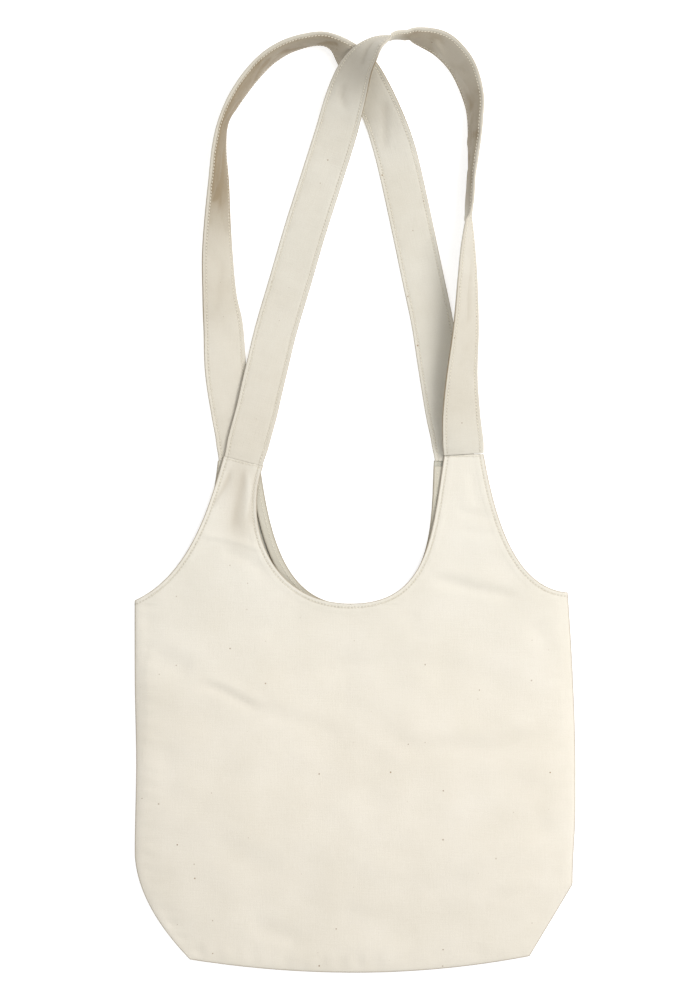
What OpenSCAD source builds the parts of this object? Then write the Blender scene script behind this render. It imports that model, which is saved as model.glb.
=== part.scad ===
// Shoulder picking bag of plain cotton canvas, laid flat on its back.
// Millimetres. +Z is up, out of the front of the bag. +Y runs from the base to the straps.
// The origin is on the underside of the back panel, on the centre line of the body.

/* [Body] */
// width of the body across the side seams
body_w = 400; // [380:2:420]
// height of the body from its base line to the mouth
body_h = 335; // [320:1:345]
// how far the mouth lies above the origin
mouth_y = 165; // [160:1:168]
// how far each lower corner is tucked in, across
tuck_w = 42; // [34:1:50]
// how far each lower corner is tucked in, up the side
tuck_h = 67; // [56:1:76]
// how much the base line bows down between the corners
base_bow = 15; // [8:1:18]

/* [Mouth and shoulders] */
// height of the shoulder ends, where the straps are sewn on, above the mouth
shoulder_h = 130; // [122:1:136]
// width of a shoulder end
shoulder_w = 35; // [33:0.5:37]
// how far the front panel stands off the back panel at the mouth
gape = 9; // [8:0.5:12]
// how far the front panel stands off the back panel at the middle of the body
crown = 17; // [14:0.5:20]
// width of the turned hem around the mouth
hem_w = 8; // [6:0.5:9]
// distance of the topstitching from the edge
stitch_in = 4.5; // [3.5:0.5:5.5]

/* [Straps] */
// width of each strap
strap_w = 38; // [36:0.5:39]
// thickness of each strap, two layers of cloth
strap_t = 2.4; // [2:0.1:2.6]
// distance of the strap topstitching from each edge
strap_stitch_in = 3.6; // [3:0.2:5]

/* [Cloth and thread] */
// thickness of one layer of cloth
cloth_t = 1; // [0.8:0.1:1.1]
// width of a row of stitches
thread_w = 0.7; // [0.5:0.1:0.9]
// height of a row of stitches
thread_h = 0.4; // [0.3:0.05:0.45]

/* [Hidden] */
$fn = 32;
gap = 0.3;
hw = body_w / 2;
base_y = mouth_y - body_h;
top_y = mouth_y + shoulder_h;
tuck_y = base_y + base_bow + tuck_h;
hinge_z = 6.6;
front_end_z = 4.3;
strap_y = top_y + gap;
half = shoulder_w / 2;
lift = 0.12;
row_end = 0.07;

// centre of each shoulder end, as the bag lies
front_l = -101.5;
front_r = 99;
back_l = -106;
back_r = 90.5;
neck_mid = -4;

// Route of each strap, from its left end over to its right end:
// across, height above the shoulder ends, roll of the strap in degrees, clearance under it.
// A roll of 0 lies flat, and 90 stands on its inner edge.
back_route = [
  [back_l, 0, 0, 0.6], [-108, 23, 1, 0.6], [-112, 45, 3, 0.6], [-117.5, 81, 8, 0.6],
  [-119.7, 121, 20, 0.6], [-123, 149, 36, 0.6], [-125, 185, 43, 0.6], [-125, 220, 52, 0.6],
  [-124, 252, 60, 0.6], [-123.5, 285, 70, 0.6], [-119.5, 308, 75, 0.6], [-109, 329, 71, 0.6],
  [-94, 350, 69, 0.6], [-77.5, 366.5, 70, 0.6], [-58, 377.5, 72, 0.6], [-34, 383, 73, 0.6],
  [-19, 379.5, 69, 0.6], [-6, 367.5, 50, 0.6], [5.5, 353, 32, 0.6], [15.5, 334, 22, 0.6],
  [25, 314, 22, 0.6], [33.7, 290, 12, 0.6], [41, 263, 2, 0.6], [53, 208, 0, 0.6],
  [62, 165, 0, 0.6], [70, 127, 0, 0.6], [76, 88, 0, 0.6], [83, 45, 0, 0.6],
  [88, 21, 0, 0.6], [back_r, 0, 0, 0.6]];
front_route = [
  [front_l, 0, 0, 3.9], [-95.5, 23, 0, 4.9], [-89.5, 45, 0, 5.4], [-84.7, 66, 0, 5.4],
  [-79.5, 88, 0, 4.2], [-71.5, 121, 0, 1.4], [-58.5, 165, 0, 0.7], [-46, 208, 0, 0.7],
  [-32, 252, 0, 1.2],
  [-18, 296, -5, 3], [-9.5, 326, -14, 9], [-1, 351, -32, 19], [8, 365, -46, 31],
  [19, 376, -64, 32], [32.5, 382.5, -80, 25], [44, 385, -96, 13], [56, 385, -111, 7],
  [77, 378.5, -125, 2], [91, 366.5, -127, 0.8], [100.5, 351.5, -126, 0.7], [107.5, 330, -120, 0.7],
  [109.2, 312, -113, 0.7], [108.3, 287.5, -108, 0.7], [105.6, 251, -98, 0.7],
  [103.7, 224, -81, 0.7], [102.4, 196, -68, 0.7], [102, 164.5, -59, 0.7], [100.6, 121, -50, 0.7],
  [97, 77, -40, 1.2], [96.5, 40, -24, 2.8], [98, 18, -12, 3.7], [front_r, 0, 0, 3.9]];

function smooth(t) = let (c = min(1, max(0, t))) c * c * (3 - 2 * c);
function mix(a, b, t) = a + (b - a) * t;
function unit(v) = v / norm(v);
function turn_left(v) = [-v[1], v[0]];
function turn_right(v) = [v[1], -v[0]];
function curve(p, t) = pow(1 - t, 3) * p[0] + 3 * t * pow(1 - t, 2) * p[1]
  + 3 * t * t * (1 - t) * p[2] + pow(t, 3) * p[3];

// mouth edges as the bag lies: each runs from a shoulder end down to the mouth line
front_neck_l = [[front_l + half, top_y], [-102, mouth_y + 72], [-75, mouth_y], [neck_mid, mouth_y]];
front_neck_r = [[front_r - half, top_y], [71, mouth_y + 60], [66, mouth_y], [neck_mid, mouth_y]];
front_arm_l = [[front_l - half, top_y], [-146, mouth_y + 84], [-148, mouth_y + 30], [-hw, mouth_y]];
front_arm_r = [[front_r + half, top_y], [124, mouth_y + 75], [140, mouth_y + 30], [hw, mouth_y]];
back_neck_l = [[back_l + half, top_y], [-79, mouth_y + 65], [-66, mouth_y], [neck_mid, mouth_y]];
back_neck_r = [[back_r - half, top_y], [66, mouth_y + 65], [62, mouth_y], [neck_mid, mouth_y]];
back_arm_l = [[back_l - half, top_y], [-132, mouth_y + 80], [-147, mouth_y + 28], [-hw, mouth_y]];
back_arm_r = [[back_r + half, top_y], [118, mouth_y + 72], [139, mouth_y + 28], [hw, mouth_y]];

function side_x(y) = y >= tuck_y ? hw : hw - tuck_w * (tuck_y - y) / tuck_h;
function base_line(x) = base_y + base_bow * pow(x / (hw - tuck_w), 2);

// height of the underside of the front panel over any point of the bag
function round_off(u, p) = sqrt(max(0, 1 - pow(min(1, abs(u)), p)));
function bulge(v) = (gape + (crown - gape) * sin(180 * min(1, v))) * round_off(v, 7);
function front_z(p) = cloth_t + gap + (p[1] <= mouth_y
  ? bulge((mouth_y - p[1]) / (mouth_y - base_line(p[0]))) * round_off(p[0] / side_x(p[1]), 4)
  : let (low = gape * round_off(p[0] / hw, 4))
    mix(low, front_end_z - cloth_t - gap, smooth((p[1] - mouth_y) / shoulder_h)));

// closed sheet from a grid of points, following the front panel at a set distance
module sheet(rows, off, t) {
  n = len(rows);
  m = len(rows[0]);
  pts = [for (k = [0, 1], r = rows, p = r) [p[0], p[1], front_z(p) + off + k * t]];
  top = n * m;
  rim = concat([for (j = [0:m - 1]) j], [for (i = [1:n - 1]) i * m + m - 1],
    [for (j = [m - 2:-1:0]) (n - 1) * m + j], [for (i = [n - 2:-1:1]) i * m]);
  cells = [for (i = [0:n - 2], j = [0:m - 2]) let (a = i * m + j) [a, a + 1, a + m + 1, a + m]];
  polyhedron(points = pts, faces = concat(
    [for (c = cells, f = [[c[0], c[1], c[2]], [c[0], c[2], c[3]]]) f],
    [for (c = cells, f = [[c[2], c[1], c[0]], [c[3], c[2], c[0]]]) [for (v = f) v + top]],
    [for (q = [0:len(rim) - 1]) let (a = rim[q], b = rim[(q + 1) % len(rim)])
      for (f = [[a, a + top, b + top], [a, b + top, b]]) f]));
}

// front panel: body and two shoulders as one closed sheet
cols = 10;
function col(j) = sin(90 * j / cols);
side_rows = concat([for (j = [0:9]) mix(mouth_y, tuck_y, j / 9)],
  [for (j = [1:6]) mix(tuck_y, base_y + base_bow, sin(15 * j))]);
mid_rows = concat([for (j = [0:9]) mix(mouth_y, tuck_y - 5, j / 9)],
  [for (j = [1:6]) mix(tuck_y - 5, base_y, sin(15 * j))]);
body_rows = [for (i = [0:len(side_rows) - 1]) [for (j = [-cols:cols])
  let (u = col(abs(j)), sx = side_x(side_rows[i]), x = i == 0 && j == 0 ? neck_mid
    : mix(i == 0 ? neck_mid : mix(neck_mid, 0, i / 15), sign(j) * sx, u))
  [x, mix(mid_rows[i], side_rows[i], pow(x / sx, 2))]]];
steps = 12;
function shoulder_rows(neck, arm) = [for (i = [1:steps]) let (t = 1 - i / steps)
  [for (j = [0:cols]) mix(curve(neck, t), curve(arm, t), col(j))]];

module front_sheet() {
  w = 2 * cols + 1;
  nb = len(body_rows);
  h = cols + 1;
  flat = concat([for (r = body_rows, p = r) p],
    [for (r = shoulder_rows(front_neck_l, front_arm_l), p = r) p],
    [for (r = shoulder_rows(front_neck_r, front_arm_r), p = r) p]);
  total = len(flat);
  function body(i, j) = i * w + j;
  function left(i, j) = i == 0 ? body(0, cols - j) : nb * w + (i - 1) * h + j;
  function right(i, j) = i == 0 ? body(0, cols + j) : nb * w + (steps + i - 1) * h + j;
  cells = concat(
    [for (i = [0:nb - 2], j = [0:w - 2]) [body(i, j), body(i, j + 1), body(i + 1, j + 1), body(i + 1, j)]],
    [for (i = [0:steps - 1], j = [0:h - 2])
      [left(i, j), left(i, j + 1), left(i + 1, j + 1), left(i + 1, j)]],
    [for (i = [0:steps - 1], j = [0:h - 2])
      [right(i, j), right(i + 1, j), right(i + 1, j + 1), right(i, j + 1)]]);
  rim = concat([for (j = [0:w - 1]) body(nb - 1, j)], [for (i = [nb - 2:-1:1]) body(i, w - 1)],
    [for (i = [0:steps]) right(i, h - 1)], [for (j = [h - 2:-1:0]) right(steps, j)],
    [for (i = [steps - 1:-1:0]) right(i, 0)], [for (i = [1:steps]) left(i, 0)],
    [for (j = [1:h - 1]) left(steps, j)], [for (i = [steps - 1:-1:0]) left(i, h - 1)],
    [for (i = [1:nb - 2]) body(i, 0)]);
  polyhedron(points = [for (k = [0, 1], p = flat) [p[0], p[1], front_z(p) + k * cloth_t]],
    faces = concat(
      [for (c = cells, f = [[c[0], c[1], c[2]], [c[0], c[2], c[3]]]) [for (v = f) v + total]],
      [for (c = cells, f = [[c[2], c[1], c[0]], [c[3], c[2], c[0]]]) f],
      [for (q = [0:len(rim) - 1]) let (a = rim[q], b = rim[(q + 1) % len(rim)])
        for (f = [[a, a + total, b + total], [a, b + total, b]]) f]));
}

// outline of the back panel, anticlockwise from the mouth on the right-hand side
back_edge = concat(
  [for (i = [10:-1:0]) curve(back_arm_r, i / 10)], [for (i = [0:10]) curve(back_neck_r, i / 10)],
  [for (i = [9:-1:0]) curve(back_neck_l, i / 10)], [for (i = [0:10]) curve(back_arm_l, i / 10)],
  [[-hw, tuck_y]],
  [for (i = [0:12]) let (x = mix(tuck_w - hw, hw - tuck_w, i / 12)) [x, base_line(x)]],
  [[hw, tuck_y]]);

// flat bar swept along stations, each holding a point, its width and its thickness direction;
// at lists where the bar's section has edges across its width
module swept(st, at, t, up = 0) {
  n = len(st);
  m = len(at);
  e = 2 * m;
  section = concat([for (i = [0:m - 1]) [at[i], -1]], [for (i = [m - 1:-1:0]) [at[i], 1]]);
  pts = [for (s = st, c = section) s[0] + c[0] * s[1] + (up + c[1] * t / 2) * s[2]];
  caps = [for (i = [0:m - 2]) [i, i + 1, e - 2 - i, e - 1 - i]];
  last = e * (n - 1);
  polyhedron(points = pts, faces = concat(
    [for (c = caps, f = [[c[0], c[1], c[2]], [c[0], c[2], c[3]]]) f],
    [for (i = [0:n - 2], k = [0:e - 1]) let (a = e * i + k, b = e * i + (k + 1) % e)
      for (f = [[a, a + e, b + e], [a, b + e, b]]) f],
    [for (c = caps, f = [[c[2], c[1], c[0]], [c[3], c[2], c[0]]]) [for (v = f) v + last]]));
}

// smooth curve through four neighbouring route points
function through(a, b, c, d, t) = 0.5 * ((2 * b) + (c - a) * t + (2 * a - 5 * b + 4 * c - d) * t * t
  + (3 * b - a - 3 * c + d) * t * t * t);
function route_at(r, s) = let (n = len(r) - 1, i = min(n - 1, floor(s)), t = s - i)
  through(i > 0 ? r[i - 1] : 2 * r[0] - r[1], r[i], r[i + 1],
    i + 2 <= n ? r[i + 2] : 2 * r[n] - r[n - 1], t);
fine = 3;
function stations(r, from = 0, to = 0) = let (n = len(r) - 1)
  [for (k = [0:n * fine]) let (
      s = max(from, min(n - to, k / fine)), q = route_at(r, s),
      a = route_at(r, max(0, s - 0.05)), b = route_at(r, min(n, s + 0.05)),
      side = s <= 0 ? [-1, 0] : s >= n ? [1, 0] : turn_left(unit([b[0] - a[0], b[1] - a[1]])),
      z = q[3] + strap_w / 2 * abs(sin(q[2])) + strap_t / 2 * abs(cos(q[2])))
    [[q[0], strap_y + q[1], z],
     [cos(q[2]) * side[0], cos(q[2]) * side[1], sin(q[2])],
     [-sin(q[2]) * side[0], -sin(q[2]) * side[1], cos(q[2])]]];

strap_row = strap_w / 2 - strap_stitch_in;
module strap(r) swept(stations(r), [-strap_w / 2, -strap_row, strap_row, strap_w / 2], strap_t);

// two rows of topstitching, seen on both faces of a strap
module strap_rows(r) {
  st = stations(r);
  run = [for (i = [1:len(st) - 2]) st[i]];
  for (s = [-1, 1], u = [-1, 1])
    swept(run, [s * strap_row - thread_w / 2, s * strap_row + thread_w / 2], thread_h,
      u * (strap_t / 2 + thread_h / 2 + lift));
}

// points at a set distance inside an edge, and the direction into the cloth there
function edge_way(p, t) = unit(curve(p, min(1, t + 0.01)) - curve(p, max(0, t - 0.01)));
function inset(p, t, d, right) = let (w = edge_way(p, t))
  curve(p, t) + d * (right ? turn_right(w) : turn_left(w));
// neck edge from the left shoulder end, under the neck, to the right shoulder end
function neck_pts(l, r, d, n = 12, s = 0.03) = concat(
  [for (i = [0:n]) inset(l, mix(s, 1, i / n), d, true)],
  [for (i = [n - 1:-1:0]) inset(r, mix(s, 1, i / n), d, false)]);
function arm_pts(p, d, right, n = 12, s = 0.03, e = 0.9) =
  [for (i = [0:n]) inset(p, mix(s, e, i / n), d, right)];
function across(f) = [for (i = [0:len(f[0]) - 1]) [for (g = f) g[i]]];
function lying(pts, z) = [for (i = [0:len(pts) - 1]) let (
    a = pts[max(0, i - 1)], b = pts[min(len(pts) - 1, i + 1)], s = turn_left(unit(b - a)))
  [[pts[i][0], pts[i][1], z < 0 ? front_z(pts[i]) + cloth_t : z], [s[0], s[1], 0], [0, 0, 1]]];
module row_of_stitches(pts, z = -1)
  swept(lying(pts, z), [-thread_w / 2, thread_w / 2], thread_h, thread_h / 2 + lift);
hem_a = 1;
hem_b = 1 + hem_w / 2;
hem_c = 1 + hem_w;
hem_t = 0.7;
module front_neck_strip(l, r) sheet(across([for (d = [hem_c, hem_b, hem_a]) neck_pts(l, r, d)]),
  -gap - hem_t, hem_t);
module front_arm_strip(p, right) sheet(across([for (d = right ? [hem_c, hem_b, hem_a]
  : [hem_a, hem_b, hem_c]) arm_pts(p, d, right)]), -gap - hem_t, hem_t);
module back_strip(outer, inner) translate([0, 0, cloth_t + gap])
  linear_extrude(hem_t) polygon(concat(outer, [for (i = [len(inner) - 1:-1:0]) inner[i]]));
back_stitch_z = cloth_t + gap + hem_t;
// bar of stitches across a shoulder end, beside the strap
module seam_bar(cx, z, y = top_y - 4) for (k = [0, 1])
  translate([cx, y - 3.5 * k, z + thread_h / 2 + 2 * lift])
    cube([shoulder_w - 4, thread_w, thread_h], center = true);

module front_panel() color("#e9e0cc") front_sheet();
module back_panel() color("#dcd7c8") linear_extrude(cloth_t) polygon(back_edge);
module side_seam(s) color("#d8cfba")
  translate([s * (hw - 7.5), (mouth_y + tuck_y) / 2 - 2, cloth_t + gap + 0.5])
    cube([9, mouth_y - tuck_y - 12, 1], center = true);
module left_side_seam() side_seam(-1);
module right_side_seam() side_seam(1);
module bottom_seam() color("#d8cfba") translate([0, base_y + 16, cloth_t + gap + 0.5])
  cube([2 * (hw - tuck_w) - 96, 8, 1], center = true);
module corner_tuck(s) color("#d8cfba") translate([0, 0, cloth_t + gap]) linear_extrude(1.2)
  polygon([for (p = [[hw - 8, tuck_y - 8], [hw - tuck_w, tuck_y - 54], [hw - 72, tuck_y - 36]])
    [s * p[0], p[1]]]);
module left_corner_tuck() corner_tuck(-1);
module right_corner_tuck() corner_tuck(1);
module front_neck_hem() color("#e4dbc6") front_neck_strip(front_neck_l, front_neck_r);
module back_neck_hem() color("#d8d3c2") back_strip(neck_pts(back_neck_l, back_neck_r, hem_a),
  neck_pts(back_neck_l, back_neck_r, hem_c));
module front_left_armhole_hem() color("#e4dbc6") front_arm_strip(front_arm_l, false);
module front_right_armhole_hem() color("#e4dbc6") front_arm_strip(front_arm_r, true);
module back_left_armhole_hem() color("#d8d3c2") back_strip(arm_pts(back_arm_l, hem_a, false),
  arm_pts(back_arm_l, hem_c, false));
module back_right_armhole_hem() color("#d8d3c2") back_strip(arm_pts(back_arm_r, hem_a, true),
  arm_pts(back_arm_r, hem_c, true));
module front_neck_stitching() color("#f4eedd") 
  row_of_stitches(neck_pts(front_neck_l, front_neck_r, stitch_in, s = row_end));
module back_neck_stitching() color("#f4eedd")
  row_of_stitches(neck_pts(back_neck_l, back_neck_r, stitch_in, s = row_end), back_stitch_z);
module front_armhole_stitching() color("#f4eedd") {
  row_of_stitches(arm_pts(front_arm_l, stitch_in, false, s = row_end, e = 0.96));
  row_of_stitches(arm_pts(front_arm_r, stitch_in, true, s = row_end, e = 0.96));
}
module back_armhole_stitching() color("#f4eedd") {
  row_of_stitches(arm_pts(back_arm_l, stitch_in, false, s = row_end), back_stitch_z);
  row_of_stitches(arm_pts(back_arm_r, stitch_in, true, s = row_end), back_stitch_z);
}
module front_strap_seams() color("#f4eedd") for (x = [front_l, front_r]) seam_bar(x, front_end_z + cloth_t);
module back_strap_seams() color("#f4eedd") for (x = [back_l, back_r]) seam_bar(x, back_stitch_z);
module back_strap() color("#dfdac9") strap(back_route);
module back_strap_stitching() color("#f4eedd") strap_rows(back_route);
module front_strap() color("#e8e1ce") strap(front_route);
module front_strap_stitching() color("#f4eedd") strap_rows(front_route);

front_panel();
back_panel();
left_side_seam();
right_side_seam();
bottom_seam();
left_corner_tuck();
right_corner_tuck();
front_neck_hem();
back_neck_hem();
front_left_armhole_hem();
front_right_armhole_hem();
back_left_armhole_hem();
back_right_armhole_hem();
front_neck_stitching();
back_neck_stitching();
front_armhole_stitching();
back_armhole_stitching();
front_strap_seams();
back_strap_seams();
back_strap();
back_strap_stitching();
front_strap();
front_strap_stitching();
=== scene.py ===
import math

import bpy
import numpy as np
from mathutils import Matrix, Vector


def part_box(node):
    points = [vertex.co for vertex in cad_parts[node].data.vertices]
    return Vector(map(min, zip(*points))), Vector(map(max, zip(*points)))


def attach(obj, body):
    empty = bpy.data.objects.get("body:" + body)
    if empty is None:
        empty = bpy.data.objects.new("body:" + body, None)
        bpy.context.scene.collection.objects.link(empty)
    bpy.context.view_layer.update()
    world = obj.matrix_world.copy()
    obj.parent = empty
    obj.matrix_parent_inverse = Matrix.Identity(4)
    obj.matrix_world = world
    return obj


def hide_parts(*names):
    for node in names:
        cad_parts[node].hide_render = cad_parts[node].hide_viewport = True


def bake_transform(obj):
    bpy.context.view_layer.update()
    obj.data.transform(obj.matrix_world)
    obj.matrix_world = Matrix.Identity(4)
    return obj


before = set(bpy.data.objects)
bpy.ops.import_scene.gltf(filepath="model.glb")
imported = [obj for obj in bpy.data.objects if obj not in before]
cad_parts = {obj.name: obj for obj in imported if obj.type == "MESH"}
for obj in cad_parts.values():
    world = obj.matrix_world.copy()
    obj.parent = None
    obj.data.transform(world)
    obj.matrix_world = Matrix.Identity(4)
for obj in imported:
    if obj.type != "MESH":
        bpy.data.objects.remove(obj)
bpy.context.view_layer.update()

rng = np.random.default_rng(7)

# ---------------------------------------------------------------- sizes, in millimetres
MM = 0.001


def cad_corners(node):
    """The low and high corners of a node of the frame, in millimetres."""
    return [np.array(corner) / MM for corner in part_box(node)]


panel_lo, panel_hi = cad_corners("front_panel")
HALF = panel_hi[0]
TOP = panel_hi[1]
BASE = panel_lo[1]
# height of the mouth line, and of the shoulder ends over it
MOUTH = 165.0
SHOULDER = TOP - MOUTH
# thickness of the cloth, of a turned hem and of a seam allowance
CLOTH, HEM_T, SEAM_T = 0.9, 0.75, 0.8
# how far the front cloth stands off the floor at the mouth, in the middle of the body and at the
# shoulder ends
GAPE, CROWN, END_Z = 9.0, 16.5, 4.3
# the lowest the front cloth gets, and the height of what lies between the two cloths
PRESSED, INSIDE_Z = 1.1, 1.45
# width of a hem, distance of its sewing from the edge, and pitch of the stitches
HEM, ROW, STITCH = 9.0, 3.3, 3.0
# how much a hem stands up, and how deep its sewing pulls in
WELT, GROOVE = 0.2, 0.22
STRAP_W, STRAP_T, STRAP_ROW = 38.0, 2.3, 3.6
# middles of the shoulder ends and of the neckline, and half the width of a shoulder end
FRONT_L, FRONT_R, BACK_L, BACK_R, NECK = -101.5, 99.0, -106.0, 90.5, -4.0
HW = 17.5
# the left front seam slants with its strap, and the right one sits a little higher
SLANT, RAISE = 4.3, 5.9
# length of the front strap's two end pieces, and of the bend in the strap above them
END, BEND = 16.0, 56.0
# gap between a strap's end and the edge it is sewn to
SEAM_GAP = 0.1
# places of the finer rows of cells beside a hemmed edge
FINE = np.array([0.8, 1.6, 2.4, 3.1, 3.8, 4.5, 5.2, 6.0, 7.0, 8.0, 8.8, 9.6, 10.6, 12.0])


def bezier(p, t):
    """Points of the curve with four control points p at shares t of its way."""
    t = np.asarray(t, float)[..., None]
    p = np.array(p, float)
    return (1 - t) ** 3 * p[0] + 3 * t * (1 - t) ** 2 * p[1] + 3 * t * t * (1 - t) * p[2] + t ** 3 * p[3]


# neckline and armhole edges, from each shoulder end down to the mouth line
EDGE = {
    "front_neck_l": [(FRONT_L + HW, TOP - SLANT), (-103, MOUTH + 70), (-76, MOUTH), (NECK, MOUTH)],
    "front_neck_r": [(FRONT_R - HW, TOP + RAISE), (70, MOUTH + 60), (67, MOUTH), (NECK, MOUTH)],
    "front_arm_l": [
        (FRONT_L - HW, TOP + SLANT), (-131.5, MOUTH + 92), (-148.5, MOUTH + 26), (-HALF, MOUTH + 3)],
    "front_arm_r": [
        (FRONT_R + HW, TOP + RAISE), (127, MOUTH + 75), (145.5, MOUTH + 14), (HALF - 7, MOUTH + 10)],
    "back_neck_l": [(BACK_L + HW + 1, TOP), (-79, MOUTH + 66), (-66, MOUTH - 1), (NECK, MOUTH - 1)],
    "back_neck_r": [(BACK_R - HW - 1, TOP), (70, MOUTH + 63), (70, MOUTH - 1), (NECK, MOUTH - 1)],
    "back_arm_l": [
        (BACK_L - HW - 1, TOP), (-128, MOUTH + 86), (-146, MOUTH + 24), (-HALF + 1, MOUTH + 2)],
    "back_arm_r": [(BACK_R + HW, TOP), (119, MOUTH + 74), (142, MOUTH + 15), (HALF - 8, MOUTH + 8)],
}

# the straps' routes, as in the part's source: across, height over the shoulder ends, roll, clearance
BACK_ROUTE = [
    (BACK_L, 0, 0, 0.6), (-108, 23, 1, 0.6), (-112, 45, 3, 0.6), (-117.5, 81, 8, 0.6),
    (-119.7, 121, 20, 0.6), (-123, 149, 36, 0.6), (-125, 185, 43, 0.6), (-125, 220, 52, 0.6),
    (-124, 252, 60, 0.6), (-123.5, 285, 70, 0.6), (-119.5, 308, 75, 0.6), (-109, 329, 71, 0.6),
    (-94, 350, 69, 0.6), (-77.5, 366.5, 70, 0.6), (-58, 377.5, 72, 0.6), (-34, 383, 73, 0.6),
    (-19, 379.5, 69, 0.6), (-6, 367.5, 50, 0.6), (5.5, 353, 32, 0.6), (15.5, 334, 22, 0.6),
    (25, 314, 22, 0.6), (33.7, 290, 12, 0.6), (41, 263, 2, 0.6), (53, 208, 0, 0.6),
    (62, 165, 0, 0.6), (70, 127, 0, 0.6), (76, 88, 0, 0.6), (83, 45, 0, 0.6),
    (88, 21, 0, 0.6), (BACK_R, 0, 0, 0.6)]
FRONT_ROUTE = [
    (FRONT_L, 0, 0, 3.9), (-95.5, 23, 0, 4.9), (-89.5, 45, 0, 5.4), (-84.7, 66, 0, 5.4),
    (-79.5, 88, 0, 4.2), (-71.5, 121, 0, 1.4), (-58.5, 165, 0, 0.7), (-46, 208, 0, 0.7),
    (-32, 252, 0, 1.2), (-18, 296, -5, 3), (-9.5, 326, -14, 9), (-1, 351, -32, 19), (8, 365, -46, 31),
    (19, 376, -64, 32), (32.5, 382.5, -80, 25), (44, 385, -96, 13), (56, 385, -111, 7),
    (77, 378.5, -125, 2), (91, 366.5, -127, 0.8), (100.5, 351.5, -126, 0.7), (107.5, 330, -120, 0.7),
    (109.2, 312, -113, 0.7), (108.3, 287.5, -108, 0.7), (105.6, 251, -98, 0.7),
    (103.7, 224, -81, 0.7), (102.4, 196, -68, 0.7), (102, 164.5, -59, 0.7), (100.6, 121, -50, 0.7),
    (97, 77, -40, 1.2), (96.5, 40, -24, 2.8), (98, 18, -12, 3.7), (FRONT_R, 0, 0, 3.9)]


# ---------------------------------------------------------------- small tools
def smooth(t):
    """From 0 to 1 with a soft start and stop."""
    t = np.clip(t, 0, 1)
    return t * t * (3 - 2 * t)


def through(points, n):
    """A smooth curve of n points through a few given ones, evenly spaced along it."""
    p = np.array(points, float)
    q = np.vstack([2 * p[0] - p[1], p, 2 * p[-1] - p[-2]])
    s = np.linspace(0, len(p) - 1, 1 + 24 * (len(p) - 1))
    i = np.minimum(s.astype(int), len(p) - 2)
    t = (s - i)[:, None]
    a, b, c, d = q[i], q[i + 1], q[i + 2], q[i + 3]
    second, third = 2 * a - 5 * b + 4 * c - d, 3 * b - a - 3 * c + d
    r = 0.5 * (2 * b + (c - a) * t + second * t ** 2 + third * t ** 3)
    run = run_along(r[:, :2])
    at = np.linspace(0, run[-1], n)
    return np.stack([np.interp(at, run, r[:, k]) for k in range(r.shape[1])], 1), at


def run_along(points):
    """How far along a line of points each one is."""
    return np.concatenate([[0], np.cumsum(np.linalg.norm(np.diff(points, axis=0), axis=1))])


def near_line(x, y, line):
    """Distance to a line of points, the side it lies on (+ to the left), and how far along, 0 to 1."""
    best = np.full(x.shape, 1e9)
    side, along = np.zeros(x.shape), np.zeros(x.shape)
    run = run_along(line)
    for k in range(len(line) - 1):
        a, b = line[k], line[k + 1]
        d = b - a
        l2 = d @ d
        t = np.clip(((x - a[0]) * d[0] + (y - a[1]) * d[1]) / l2, 0, 1)
        px, py = x - a[0] - t * d[0], y - a[1] - t * d[1]
        dist = np.hypot(px, py)
        hit = dist < best
        best = np.where(hit, dist, best)
        side = np.where(hit, np.sign(d[0] * py - d[1] * px), side)
        along = np.where(hit, (run[k] + t * math.sqrt(l2)) / run[-1], along)
    return best, side, along


def lumps(x, y, size, count, seed):
    """Soft uneven ground: a sum of waves of about one size in many directions."""
    r = np.random.default_rng(seed)
    out = np.zeros(np.shape(x))
    for _ in range(count):
        a = r.uniform(0, math.pi)
        k = r.uniform(0.7, 1.4) * 2 * math.pi / size
        ph = r.uniform(0, 6.28)
        out = out + np.sin(k * (np.cos(a) * x + np.sin(a) * y) + ph)
    return out / math.sqrt(count)


# ---------------------------------------------------------------- the lie of the front cloth
def base_line(x):
    """The bottom edge, which rises a little towards the corners."""
    return BASE + np.where(x < 0, 12 * (x / 150) ** 2, 15 * (x / 158) ** 2)


def side_right(y):
    """Half width of the bag on its right side, which tapers up and cuts in at the corner tuck."""
    low = np.clip((BASE + 80 - y) / 65, 0, 1)
    return HALF - 39 * low - 2.6 * smooth((-20 - y) / 66) - 7 * np.clip((y - 20) / 155, 0, 1.05) ** 1.6


def side_left(y):
    """Half width of the bag on its left side, with a rounder corner."""
    low = np.clip((-60 - y) / 98, 0, 1)
    return HALF - 50 * low ** 1.9 - 1.4 * np.exp(-(((y - 20) / 50) ** 2))


def side_at(x, y):
    return np.where(x < 0, side_left(y), side_right(y))


def round_off(u, p):
    """A dome's height at share u from its middle to its rim, flatter for a larger p."""
    return np.sqrt(np.maximum(0, 1 - np.minimum(1, np.abs(u)) ** p))


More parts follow.
